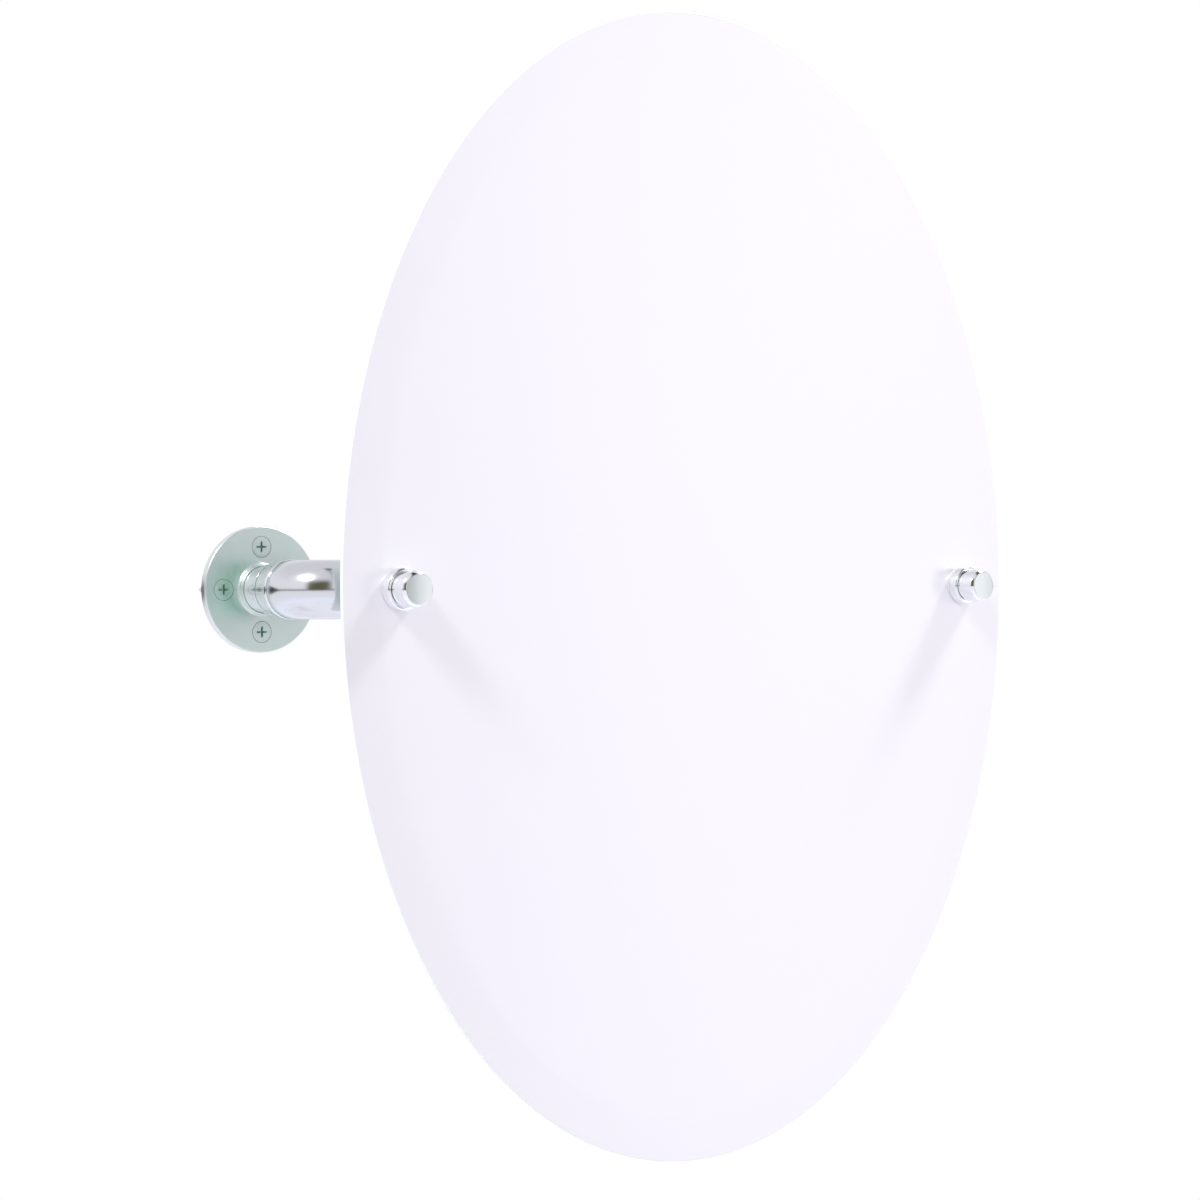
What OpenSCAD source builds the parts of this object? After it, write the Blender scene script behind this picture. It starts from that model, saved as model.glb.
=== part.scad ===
// Oval wall mirror that tilts between two chromed elbow brackets.
// Frame: origin on the wall, midway between the brackets, at the height of the pivot axis.
// X runs to the right along the wall, Z is up, and the mirror stands off the wall towards -Y.

/* [Mirror] */
// Height of the oval glass
mirror_h = 736.6; // [550:0.1:900]
// Width of the oval glass
mirror_w = 533.4; // [450:0.1:700]
// Thickness of the glass plate
glass_t = 5; // [4.5:0.1:8]
// Thickness that the bevel leaves at the rim
rim_t = 3; // [2:0.1:4]
// Width of the ground bevel, measured square to the rim
bevel_w = 25.4; // [10:0.1:32]
// Thickness of the silver and paint coat on the back
coat_t = 0.4; // [0.2:0.1:1]
// Inset of the coat from the rim
coat_inset = 0.5; // [0.2:0.1:2]
// Diameter of the two holes drilled through the glass
glass_hole_d = 13; // [11.5:0.1:16]
// Distance from the rim to a knob's axis, at mid height
knob_inset = 38.1; // [34:0.1:60]

/* [Flange] */
// Diameter of the round flange
flange_d = 77; // [74:0.5:90]
// Thickness of the flange, out from the wall
flange_t = 5; // [4.8:0.1:9]
// Radius that rounds the flange's front edge
flange_round = 0.9; // [0.3:0.1:2]
// Wall of the flange's hub round the neck
hub_wall = 1.95; // [1.6:0.05:2.8]
// Height of the hub's lower bead
bead_h = 1.9; // [1:0.1:4]
// Height of the hub's upper bead
upper_bead_h = 1.8; // [1:0.1:4]
// How far the upper bead is drawn in from the lower one
bead_step = 1; // [0.5:0.05:1.2]
// Diameter of the circle that the wall screws stand on
screw_circle_d = 51.8; // [50:0.1:58]
// Diameter of a wall screw's flat head
screw_head_d = 12.7; // [9:0.1:13]
// Thickness of the straight edge of a wall screw's head
screw_land = 0.4; // [0.3:0.1:0.7]
// Diameter of a wall screw's plain shank
shank_d = 6.4; // [5:0.1:7]
// Diameter of a wall screw's thread
thread_d = 5.8; // [4:0.1:6]
// Overall length of a wall screw
screw_len = 31.75; // [25:0.05:60]
// Length of a wall screw's point
screw_point = 4.5; // [3:0.1:12]
// Tip-to-tip size of the cross recess
recess_span = 7.6; // [5:0.1:8]
// Width of each arm of the cross recess
recess_arm = 1.3; // [0.8:0.1:1.6]
// Depth of the cross recess
recess_depth = 2.4; // [1.5:0.1:2.6]

/* [Neck and elbow] */
// Outside diameter of the neck tube
neck_d = 28.4; // [27:0.1:32]
// Bore of the neck tube
neck_bore_d = 21; // [18:0.1:22]
// Length of the neck that shows between the hub and the lock sleeve
neck_show = 13.3; // [8:0.1:50]
// Width of the groove in the neck beside the lock sleeve
groove_w = 1; // [0.5:0.1:2]
// Depth of the groove below the neck's surface
groove_depth = 0.5; // [0.2:0.1:0.8]
// Wall of the lock sleeve
sleeve_wall = 1.85; // [1.6:0.05:3]
// Length of the lock sleeve, with its end band
sleeve_len = 20.3; // [16:0.1:32]
// Distance from the lock sleeve's wall end to its groove
sleeve_groove_at = 3; // [2:0.1:5]
// Width of the lock sleeve's groove
sleeve_groove_w = 1.2; // [0.6:0.1:2]
// Depth of the lock sleeve's groove
sleeve_groove_depth = 0.7; // [0.3:0.1:1]
// Wall of the lock sleeve's end band
band_wall = 3.75; // [3.2:0.05:6.5]
// Length of the lock sleeve's end band
band_len = 4; // [2:0.1:8]
// Wall of the elbow round its sockets
elbow_wall = 3.4; // [3:0.05:6]
// Gap that the elbow's bend keeps at its inner corner
bend_clear = 1.2; // [0.6:0.1:6]
// Length of the straight land at the elbow's mouth
mouth_land = 4.7; // [3:0.1:12]
// Length of the straight land at the elbow's outlet
outlet_land = 5.3; // [2:0.1:8]
// Depth of the elbow's sockets
socket_depth = 8; // [6:0.1:9]
// Bore through the elbow's bend
elbow_bore_d = 20; // [18:0.1:22]
// Gap between the elbow's front and the back of the mirror
mirror_gap = 5; // [3:0.1:15]

/* [Pivot] */
// Diameter of the pivot bolt
pivot_d = 8; // [6:0.1:9]
// Diameter of the pivot bolt's round head
pivot_head_d = 12; // [11:0.1:13]
// Thickness of the pivot bolt's round head
pivot_head_t = 3.5; // [2:0.1:4]
// Diameter of the plug's cap
plug_cap_d = 31; // [28:0.1:34]
// Thickness of the plug's cap
plug_cap_t = 3; // [2:0.1:4]
// Diameter of the friction washer
friction_d = 22; // [16:0.1:26]
// Thickness of the friction washer
friction_t = 1.5; // [1:0.1:2.5]
// Diameter of the swivel hub behind the glass
swivel_d = 25; // [22:0.1:28]
// Length of the swivel hub on the wall side of the pivot axis
swivel_tail = 11; // [11:0.1:16]
// Diameter of the swivel hub's cross boss
boss_d = 19; // [14:0.1:20]
// Length of the cross boss on the outer side of the knob's axis
boss_outer = 14.85; // [13.8:0.05:30]
// Length of the cross boss on the inner side of the knob's axis
boss_inner = 15.4; // [14:0.1:20]
// Outer diameter of the cone washer
cone_washer_d = 17; // [14:0.1:18]
// Thickness of the cone washer's plate
cone_washer_t = 0.8; // [0.5:0.1:1]
// Height of the cone washer
cone_washer_h = 1.6; // [1.2:0.1:2]
// Width across the flats of the pivot nut
nut_across = 13; // [12:0.1:16]
// Height of the pivot nut
nut_h = 6.5; // [4:0.1:8]
// Length of the pivot bolt past the nut
bolt_past = 1.5; // [0.5:0.1:4]

/* [Knob] */
// Diameter of the stud through the glass
stud_d = 8; // [6:0.1:8.4]
// Length of the stud inside the swivel hub
stud_hold = 13; // [8:0.1:16]
// Thickness of the back washer
back_washer_t = 1.2; // [0.8:0.1:2]
// Thickness of the front washer
front_washer_t = 0.8; // [0.5:0.1:1.5]
// Diameter of the front washer
front_washer_d = 24; // [17:0.1:25]
// Diameter of the knob's collar
collar_d = 25.6; // [24:0.1:30]
// Length of the knob's collar
collar_len = 6.8; // [5:0.1:12]
// Radius that rounds the collar's front edge
collar_round = 1.2; // [0.4:0.1:2]
// Diameter of the cap's seat on the collar
cap_seat_d = 19.4; // [16:0.1:20]
// Length of the cap's seat
cap_seat_len = 0.9; // [0.5:0.1:2]
// Diameter of the knob's cap
cap_d = 21.6; // [20.5:0.1:25]
// Length of the knob's cap, without its seat
cap_len = 13; // [10:0.1:20]
// Width of the chamfer round the cap's face
cap_chamfer = 1.6; // [0.5:0.1:2.5]

/* [Hidden] */
SIDED = [
    "flange", "wall_screws", "neck", "lock_sleeve", "elbow", "pivot_plug", "pivot_bolt",
    "friction_washer", "cone_washer", "pivot_nut", "swivel_hub", "back_washer", "glass_bush",
    "knob_stud", "front_washer", "knob_collar", "knob_cap"
];
$fn = 96;

// Straight pieces of the oval's outline
oval_steps = 144;
// Radial clearance of a shaft that turns or slides in its bore
running = 0.05;
// Clearance between flat faces that slide on each other
side_play = 0.1;
// Clearance between the end of a piece and the bottom of its hole
loose = 0.3;
// How far a cutter runs past the surface that it cuts
past = 1;
// Gap that shows round a wall screw's head
head_gap = 0.25;
// Small bevel that breaks a turned edge
edge_break = 0.4;
// How far the elbow's lands and its bend are fused, each way, inside their skin
fuse = 0.2;

// Radii of the neck and of what fits round it
neck_r = neck_d / 2;
socket_r = neck_r + running;
hub_r = socket_r + hub_wall;
sleeve_r = socket_r + sleeve_wall;
elbow_r = socket_r + elbow_wall;
band_r = socket_r + band_wall;
bend_r = elbow_r + bend_clear;

// Depths from the wall, along the neck
bead_top = flange_t + bead_h;
hub_top = bead_top + upper_bead_h;
sleeve_start = hub_top + neck_show;
elbow_face = sleeve_start + sleeve_len;
pivot_depth = elbow_face + mouth_land + bend_r;
// Depths from the wall, along the knob
coat_back = pivot_depth + elbow_r + mirror_gap;
glass_back = coat_back + coat_t;
glass_front = glass_back + glass_t;
hub_face = coat_back - back_washer_t;
collar_back = glass_front + front_washer_t;
collar_front = collar_back + collar_len;
cap_back = collar_front + cap_seat_len;
cap_front = cap_back + cap_len;

// Places along the pivot, measured inwards from the elbow's outlet face
friction_end = plug_cap_t + friction_t;
boss_start = friction_end + side_play;
knob_place = boss_start + boss_outer;
boss_end = knob_place + boss_inner;
washer_start = boss_end + side_play;
nut_start = washer_start + cone_washer_h;
bolt_end = nut_start + nut_h + bolt_past;
plug_depth = socket_depth - loose;

// Distances from the middle of the mirror, along the wall
knob_x = mirror_w / 2 - knob_inset;
outlet_x = knob_x + knob_place;
flange_x = outlet_x + outlet_land + bend_r;

// Wall screws, measured out from the wall
head_r = screw_head_d / 2;
shank_r = shank_d / 2;
head_low = flange_t - screw_land;
shank_top = head_low - head_r + shank_r;
screw_tip = flange_t - screw_len;
// Height at which the countersink would come to a point
sink_point = head_low - head_r - running;

// Radii of the stud's holes and of the bush round it
stud_hole_r = stud_d / 2 + running;
bush_r = glass_hole_d / 2 - running;
stud_end = cap_front - cap_chamfer - 3;
// Circle through the corners of the pivot nut
nut_corner_r = nut_across / 2 / cos(30);

// Finishes
chrome = "#c9ced3";
steel = "#a9adb1";
glass = "#dfeaf0";
paint = "#7d8187";
nylon = "#e9e6dc";

// Point of the oval at an angle, drawn in by some distance square to its edge
function oval_point(t, inset) =
    let (p = [mirror_w / 2 * cos(t), mirror_h / 2 * sin(t)])
    let (n = [mirror_h / 2 * cos(t), mirror_w / 2 * sin(t)])
    p - inset * n / norm(n);

// Outline of the oval, drawn in by some distance
function oval(inset) = [for (i = [0:oval_steps - 1]) oval_point(360 * i / oval_steps, inset)];

// Mirrors its children to the right side, or leaves them on the left
module on_side(right) {
    mirror([right ? 1 : 0, 0, 0]) children();
}

// Stands children on the wall at a distance left of the middle, with their Z out of the wall
module out_of_wall(x) {
    translate([-x, 0, 0]) rotate([90, 0, 0]) children();
}

// Lays children on the pivot axis, with their Z running inwards from the elbow's outlet
module along_pivot() {
    translate([-outlet_x, -pivot_depth, 0]) rotate([0, 90, 0]) children();
}

// Cylinder from one height to another
module rod(r, from, to) {
    translate([0, 0, from]) cylinder(r = r, h = to - from);
}

// Ring from one height to another
module tube(r, bore_r, from, to) {
    difference() {
        rod(r, from, to);
        rod(bore_r, from - past, to + past);
    }
}

// Cone from one radius to another
module cone(r1, r2, from, to) {
    translate([0, 0, from]) cylinder(r1 = r1, r2 = r2, h = to - from);
}

// Solid disc whose edges are broken by a small bevel at its lower and upper end
module turned_disc(r, from, to, low, high) {
    rotate_extrude()
        polygon([
            [0, from], [r - low, from], [r, from + low],
            [r, to - high], [r - high, to], [0, to]
        ]);
}

// Solid disc with a rounded upper edge
module rounded_disc(r, from, to, round_r) {
    rotate_extrude() {
        translate([0, from]) square([r - round_r, to - from]);
        translate([0, from]) square([r, to - from - round_r]);
        intersection() {
            translate([r - round_r, to - round_r]) circle(r = round_r);
            translate([0, from]) square([r, to - from]);
        }
    }
}

// Places children at the four wall screws
module at_wall_screws() {
    for (turn = [0:90:270])
        rotate(turn) translate([screw_circle_d / 2, 0, 0]) children();
}

// Glass plate, bevelled round the front and drilled for the two studs
module mirror_glass() {
    rings = [
        [0, glass_back],
        [0, glass_back + rim_t],
        [bevel_w, glass_front]
    ];
    points = [for (ring = rings) for (p = oval(ring[0])) [p[0], -ring[1], p[1]]];
    n = oval_steps;
    low = [for (i = [0:n - 1]) i];
    high = [for (i = [0:n - 1]) 3 * n - 1 - i];
    walls_a = [
        for (k = [0:1]) for (i = [0:n - 1])
            [k * n + i, (k + 1) * n + i, k * n + (i + 1) % n]
    ];
    walls_b = [
        for (k = [0:1]) for (i = [0:n - 1])
            [(k + 1) * n + i, (k + 1) * n + (i + 1) % n, k * n + (i + 1) % n]
    ];
    color(glass)
        difference() {
            polyhedron(points = points, faces = concat([low, high], walls_a, walls_b));
            for (right = [false, true])
                on_side(right) out_of_wall(knob_x)
                    rod(glass_hole_d / 2, glass_back - past, glass_front + past);
        }
}

// Silver and paint coat on the back of the glass
module mirror_backing() {
    color(paint)
        difference() {
            translate([0, -coat_back, 0]) rotate([90, 0, 0])
                linear_extrude(coat_t) polygon(oval(coat_inset));
            for (right = [false, true])
                on_side(right) out_of_wall(knob_x)
                    rod(glass_hole_d / 2, coat_back - past, glass_back + past);
        }
}

// Chromed flange with a stepped hub for the neck and four countersunk holes
module flange() {
    color(chrome)
        out_of_wall(flange_x)
            difference() {
                union() {
                    rounded_disc(flange_d / 2, 0, flange_t, flange_round);
                    rounded_disc(hub_r, flange_t / 2, bead_top, bead_step);
                    rounded_disc(hub_r - bead_step, flange_t / 2, hub_top, bead_step / 2);
                }
                rod(socket_r, -past, hub_top + past);
                at_wall_screws() {
                    rod(shank_r + head_gap, -past, flange_t + past);
                    cone(0, head_r + head_gap, sink_point, sink_point + head_r + head_gap);
                    rod(head_r + head_gap, sink_point + head_r + head_gap, flange_t + past);
                }
            }
}

// Cross recess that tapers to its bottom, cut down from a height
module cross_recess(top) {
    intersection() {
        union() {
            for (turn = [0, 90])
                rotate(turn) translate([-recess_span / 2, -recess_arm / 2, top - recess_depth])
                    cube([recess_span, recess_arm, recess_depth + past]);
        }
        cone(recess_arm / 2, recess_span / 2 + past, top - recess_depth, top + past);
    }
}

// Four flat head screws that hold the flange to the wall
module wall_screws() {
    color(chrome)
        out_of_wall(flange_x)
            at_wall_screws()
                difference() {
                    union() {
                        rod(head_r, head_low, flange_t);
                        cone(shank_r, head_r, shank_top, head_low);
                        rod(shank_r, 0, shank_top);
                        rod(thread_d / 2, screw_tip + screw_point, 0);
                        cone(0, thread_d / 2, screw_tip, screw_tip + screw_point);
                    }
                    cross_recess(flange_t);
                }
}

// Neck tube from the flange to the elbow, with a groove beside the lock sleeve
module neck() {
    color(chrome)
        out_of_wall(flange_x)
            difference() {
                rod(neck_r, loose, elbow_face + socket_depth - loose);
                rod(neck_bore_d / 2, -past, elbow_face + socket_depth + past);
                tube(neck_r + past, neck_r - groove_depth, sleeve_start - groove_w, sleeve_start);
            }
}

// Threaded sleeve that locks the elbow on the neck, with a groove and an end band
module lock_sleeve() {
    groove = sleeve_start + sleeve_groove_at;
    color(chrome)
        out_of_wall(flange_x)
            difference() {
                union() {
                    turned_disc(sleeve_r, sleeve_start, elbow_face, edge_break, 0);
                    turned_disc(band_r, elbow_face - band_len, elbow_face, 2 * edge_break, edge_break);
                }
                rod(socket_r, sleeve_start - past, elbow_face + past);
                tube(sleeve_r + past, sleeve_r - sleeve_groove_depth, groove, groove + sleeve_groove_w);
            }
}

// Cast elbow that turns from the neck to the pivot
module elbow() {
    color(chrome)
        difference() {
            union() {
                elbow_bend(elbow_r);
                from_mouth() elbow_land(mouth_land);
                from_outlet() elbow_land(outlet_land);
            }
            elbow_bend(elbow_bore_d / 2);
            from_mouth() rod(socket_r, -past, socket_depth);
            from_outlet() rod(socket_r, -past, socket_depth);
        }
}

// Straight land of the elbow, with a core that runs on into the bend
module elbow_land(len) {
    turned_disc(elbow_r, 0, len, edge_break, 0);
    rod(elbow_r - edge_break, len - fuse, len + fuse);
}

// Quarter turn of a given radius about the elbow's inner corner
module elbow_bend(r) {
    translate([bend_r - flange_x, bend_r - pivot_depth, 0])
        rotate([0, 0, 180])
            rotate_extrude(angle = 90) translate([bend_r, 0]) circle(r = r);
}

// Places children at the elbow's mouth, with their Z running into it
module from_mouth() {
    out_of_wall(flange_x) translate([0, 0, elbow_face]) children();
}

// Places children at the elbow's outlet, with their Z running into it
module from_outlet() {
    along_pivot() mirror([0, 0, 1]) children();
}

// Plug that closes the elbow's outlet and carries the pivot bolt
module pivot_plug() {
    color(chrome)
        along_pivot()
            difference() {
                union() {
                    rod(neck_r, -plug_depth, 0);
                    turned_disc(plug_cap_d / 2, 0, plug_cap_t, edge_break, edge_break);
                }
                rod(pivot_d / 2 + running, -socket_depth - past, plug_cap_t + past);
            }
}

// Bolt that the mirror turns on
module pivot_bolt() {
    color(steel)
        along_pivot() {
            rod(pivot_d / 2, -plug_depth, bolt_end - edge_break);
            cone(pivot_d / 2, pivot_d / 2 - edge_break, bolt_end - edge_break, bolt_end);
            turned_disc(pivot_head_d / 2, -plug_depth - pivot_head_t, -plug_depth, edge_break, 0);
        }
}

// Washer whose drag holds the mirror at its tilt
module friction_washer() {
    color(nylon)
        along_pivot() tube(friction_d / 2, pivot_d / 2 + running, plug_cap_t, friction_end);
}

// Dished spring washer that keeps the pivot clamped
module cone_washer() {
    inner_r = pivot_d / 2 + running;
    outer_r = cone_washer_d / 2;
    rise = cone_washer_h - cone_washer_t;
    color(steel)
        along_pivot() translate([0, 0, washer_start])
            rotate_extrude()
                polygon([
                    [outer_r, 0], [outer_r, cone_washer_t],
                    [inner_r, rise + cone_washer_t], [inner_r, rise]
                ]);
}

// Hexagon nut that clamps the pivot
module pivot_nut() {
    color(steel)
        along_pivot()
            difference() {
                intersection() {
                    translate([0, 0, nut_start]) cylinder(r = nut_corner_r, h = nut_h, $fn = 6);
                    turned_disc(nut_corner_r, nut_start, nut_start + nut_h, edge_break, edge_break);
                }
                rod(pivot_d / 2 + running, nut_start - past, nut_start + nut_h + past);
            }
}

// Hub behind the glass that turns on the pivot bolt and holds the stud
module swivel_hub() {
    color(chrome)
        difference() {
            union() {
                out_of_wall(knob_x)
                    turned_disc(swivel_d / 2, pivot_depth - swivel_tail, hub_face, 2 * edge_break, edge_break);
                along_pivot() turned_disc(boss_d / 2, boss_start, boss_end, edge_break, edge_break);
            }
            along_pivot() rod(pivot_d / 2 + running, boss_start - past, boss_end + past);
            out_of_wall(knob_x) rod(stud_hole_r, hub_face - stud_hold - loose, hub_face + past);
        }
}

// Soft washer between the swivel hub and the back of the mirror
module back_washer() {
    color(nylon)
        out_of_wall(knob_x) tube(swivel_d / 2 - edge_break, stud_hole_r, hub_face, coat_back);
}

// Bush that keeps the stud off the edge of the glass hole
module glass_bush() {
    color(nylon)
        out_of_wall(knob_x) tube(bush_r, stud_hole_r, coat_back, glass_front);
}

// Threaded stud from the swivel hub to the knob
module knob_stud() {
    color(steel)
        out_of_wall(knob_x)
            turned_disc(stud_d / 2, hub_face - stud_hold, stud_end, edge_break, edge_break);
}

// Soft washer between the glass and the knob's collar
module front_washer() {
    color(nylon)
        out_of_wall(knob_x) tube(front_washer_d / 2, stud_hole_r, glass_front, collar_back);
}

// Wide collar that the knob presses on the glass
module knob_collar() {
    color(chrome)
        out_of_wall(knob_x)
            difference() {
                intersection() {
                    rounded_disc(collar_d / 2, collar_back, collar_front, collar_round);
                    turned_disc(collar_d / 2, collar_back, collar_front, 2 * edge_break, 0);
                }
                rod(stud_hole_r, collar_back - past, collar_front + past);
            }
}

// Round cap nut that the hand turns
module knob_cap() {
    color(chrome)
        out_of_wall(knob_x)
            difference() {
                union() {
                    rod(cap_seat_d / 2, collar_front, cap_back);
                    turned_disc(cap_d / 2, cap_back, cap_front, edge_break, cap_chamfer);
                }
                rod(stud_hole_r, collar_front - past, stud_end + loose);
            }
}

mirror_glass();
mirror_backing();
on_side(false) flange();  // left_flange
on_side(false) wall_screws();  // left_wall_screws
on_side(false) neck();  // left_neck
on_side(false) lock_sleeve();  // left_lock_sleeve
on_side(false) elbow();  // left_elbow
on_side(false) pivot_plug();  // left_pivot_plug
on_side(false) pivot_bolt();  // left_pivot_bolt
on_side(false) friction_washer();  // left_friction_washer
on_side(false) cone_washer();  // left_cone_washer
on_side(false) pivot_nut();  // left_pivot_nut
on_side(false) swivel_hub();  // left_swivel_hub
on_side(false) back_washer();  // left_back_washer
on_side(false) glass_bush();  // left_glass_bush
on_side(false) knob_stud();  // left_knob_stud
on_side(false) front_washer();  // left_front_washer
on_side(false) knob_collar();  // left_knob_collar
on_side(false) knob_cap();  // left_knob_cap
on_side(true) flange();  // right_flange
on_side(true) wall_screws();  // right_wall_screws
on_side(true) neck();  // right_neck
on_side(true) lock_sleeve();  // right_lock_sleeve
on_side(true) elbow();  // right_elbow
on_side(true) pivot_plug();  // right_pivot_plug
on_side(true) pivot_bolt();  // right_pivot_bolt
on_side(true) friction_washer();  // right_friction_washer
on_side(true) cone_washer();  // right_cone_washer
on_side(true) pivot_nut();  // right_pivot_nut
on_side(true) swivel_hub();  // right_swivel_hub
on_side(true) back_washer();  // right_back_washer
on_side(true) glass_bush();  // right_glass_bush
on_side(true) knob_stud();  // right_knob_stud
on_side(true) front_washer();  // right_front_washer
on_side(true) knob_collar();  // right_knob_collar
on_side(true) knob_cap();  // right_knob_cap
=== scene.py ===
# %% [markdown]
# # Pivot wall mirror
# An oval mirror with a ground bevel hangs between two chromed elbow brackets and tilts on them.
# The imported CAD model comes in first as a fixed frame. Each visible part is then modelled again
# with finer edges in the place where the CAD has it, and gets the finish of the real material.

import math

import bpy
from mathutils import Matrix, Vector


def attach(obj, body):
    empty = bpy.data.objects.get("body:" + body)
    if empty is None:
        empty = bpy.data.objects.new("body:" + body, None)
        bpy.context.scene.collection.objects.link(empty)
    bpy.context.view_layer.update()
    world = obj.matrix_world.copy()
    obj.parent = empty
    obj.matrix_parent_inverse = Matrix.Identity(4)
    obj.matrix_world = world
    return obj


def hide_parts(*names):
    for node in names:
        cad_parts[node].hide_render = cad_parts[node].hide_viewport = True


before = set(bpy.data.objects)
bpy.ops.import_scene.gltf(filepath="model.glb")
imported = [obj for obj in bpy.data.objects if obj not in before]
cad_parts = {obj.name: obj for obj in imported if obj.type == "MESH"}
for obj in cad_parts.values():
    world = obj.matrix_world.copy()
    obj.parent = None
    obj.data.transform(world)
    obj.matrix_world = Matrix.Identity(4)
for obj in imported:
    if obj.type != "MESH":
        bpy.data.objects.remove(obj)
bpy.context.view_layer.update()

# %% [markdown]
# ## Sizes
# The pieces' lengths are in millimetres, measured on the photograph and kept the same as in the
# CAD source, and `MM` turns them into Blender's metres. Depths are measured out from the wall.
# Only the camera, the lamps and the floor are placed in metres.

# %% Sizes
MM = 0.001
GLASS_W = 533.4
GLASS_H = 736.6
GLASS_BACK = 88.9
GLASS_FRONT = 93.9
KNOB_X = 228.6
FLANGE_X = 272.2
FLANGE_T = 5
HUB_TOP = 8.7
SLEEVE_START = 22
ELBOW_FACE = 42.3
NECK_R = 14.2
SOCKET_R = 14.25
ELBOW_R = 17.65
PIVOT_DEPTH = 65.85
OUTLET_X = 248.05
BOLT_HOLE_R = 4.05
print("elbow outlet at", OUTLET_X, "mm from the middle")

# %% [markdown]
# ## Camera
# The photograph was taken from the left at the height of the pivot, with a long lens. Its place
# was solved from the oval's outline, the two knobs and the round flange, so the render lies over
# the photograph.

# %% Camera
YAW = 0.6313
PITCH = -0.0087
ROLL = -0.0038
LENS = 78.61
SENSOR = 36.0
CAMERA_PLACE = Vector((-1.0471, -1.4136, 0.0067))


def aim_camera():
    """Makes the camera from its yaw to the right of +Y, its pitch and its roll."""
    ahead = Vector((math.sin(YAW), math.cos(YAW), 0.0)) * math.cos(PITCH)
    forward = ahead + Vector((0.0, 0.0, math.sin(PITCH)))
    level = Vector((math.cos(YAW), -math.sin(YAW), 0.0))
    up = level.cross(forward)
    right = level * math.cos(ROLL) + up * math.sin(ROLL)
    top = up * math.cos(ROLL) - level * math.sin(ROLL)
    lens = bpy.data.cameras.new("photo_camera")
    lens.sensor_fit = "HORIZONTAL"
    lens.sensor_width = SENSOR
    lens.lens = LENS
    camera = bpy.data.objects.new("photo_camera", lens)
    bpy.context.scene.collection.objects.link(camera)
    turn = Matrix((right, top, -forward)).transposed().to_4x4()
    camera.matrix_world = Matrix.Translation(CAMERA_PLACE) @ turn
    bpy.context.scene.camera = camera
    print("camera at", tuple(round(v, 3) for v in CAMERA_PLACE))


aim_camera()

# %% [markdown]
# ## Helpers for materials
# Colours are written as sRGB hex values and turned to linear once. Nodes are added by one small
# function, so that each material below reads as a short list of what its surface does.

# %% Colour and node helpers


def linear(code):
    """Turns an sRGB hex value into Blender's linear colour."""
    parts = [int(code[i:i + 2], 16) / 255 for i in (1, 3, 5)]
    return tuple(
        c / 12.92 if c <= 0.04045 else ((c + 0.055) / 1.055) ** 2.4 for c in parts) + (1.0,)


def add_node(tree, kind, inputs=None, **settings):
    """Adds a node, sets its settings, and sets or links its inputs."""
    node = tree.nodes.new(kind)
    for name, value in settings.items():
        setattr(node, name, value)
    for name, value in (inputs or {}).items():
        if isinstance(value, bpy.types.NodeSocket):
            tree.links.new(value, node.inputs[name])
        else:
            node.inputs[name].default_value = value
    return node


def new_material(name):
    """Starts an empty material and returns it with its node tree and its Object coordinates."""
    material = bpy.data.materials.new(name)
    material.use_nodes = True
    tree = material.node_tree
    tree.nodes.clear()
    return material, tree, add_node(tree, "ShaderNodeTexCoord").outputs["Object"]


def finish_material(material, tree, shader):
    """Links the shader to the output."""
    add_node(tree, "ShaderNodeOutputMaterial", {"Surface": shader.outputs[0]})
    print("material", material.name, "with", len(tree.nodes), "nodes")
    return material


print("mid grey turns to", round(linear("#808080")[0], 4))

# %% [markdown]
# ## Mirror glass
# The photographed face is a silvered float glass that reads as a pale, hazy white: it returns
# the white studio without sharp images, and it takes soft shadows below the knobs. So a little
# under half of its light is a mirror's and the rest is scattered. A faint cloudiness, about a
# hand's width across, is the lavender mottling that the photograph shows.
#
# The silver lies on the flat back of the plate, so the ground bevel in front of it hardly shows.
# The shading therefore faces mostly straight out of the plate, by a direction that turns with
# the plate when it tilts, and only a little the way the bevelled front faces.

# %% Silvered glass
MIRROR_SHARE = 0.45
BEVEL_SHARE = 0.15
CLOUDS_PER_M = 9.0


def silvered_glass():
    """Silvered float glass with a light haze."""
    material, tree, place = new_material("silvered float glass, hazed")
    clouds = add_node(tree, "ShaderNodeTexNoise", {
        "Vector": place, "Scale": CLOUDS_PER_M, "Detail": 3.0, "Roughness": 0.55})
    tint = add_node(tree, "ShaderNodeMix", {
        "Factor": clouds.outputs["Fac"], "A": linear("#f3f1f9"), "B": linear("#f8f6fc")},
        data_type="RGBA")
    haze = add_node(tree, "ShaderNodeMapRange", {
        "Value": clouds.outputs["Fac"], "To Min": 0.28, "To Max": 0.36})
    silver = add_node(tree, "ShaderNodeVectorTransform", {"Vector": (0, -1, 0)},
                      vector_type="NORMAL", convert_from="OBJECT", convert_to="WORLD")
    front = add_node(tree, "ShaderNodeNewGeometry")
    facing = add_node(tree, "ShaderNodeMix", {
        "Factor": BEVEL_SHARE, "A": silver.outputs["Vector"], "B": front.outputs["Normal"]},
        data_type="VECTOR")
    shader = add_node(tree, "ShaderNodeBsdfPrincipled", {
        "Base Color": tint.outputs["Result"], "Metallic": MIRROR_SHARE,
        "Roughness": haze.outputs["Result"], "IOR": 1.5, "Normal": facing.outputs["Result"]})
    return finish_material(material, tree, shader)


GLASS_FACE = silvered_glass()

# %% [markdown]
# ## Ground glass edge
# The rim is ground and then polished, but stays a little rougher than the face, so it looks white
# and catches a hint of the glass's green. Grinding lines run round it. The real ones are about
# 0.3 mm apart, too fine to show, so they are drawn wider.

# %% Ground edge
GRIND_PITCH = 1.885
WAVE_RADIANS = 20


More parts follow.
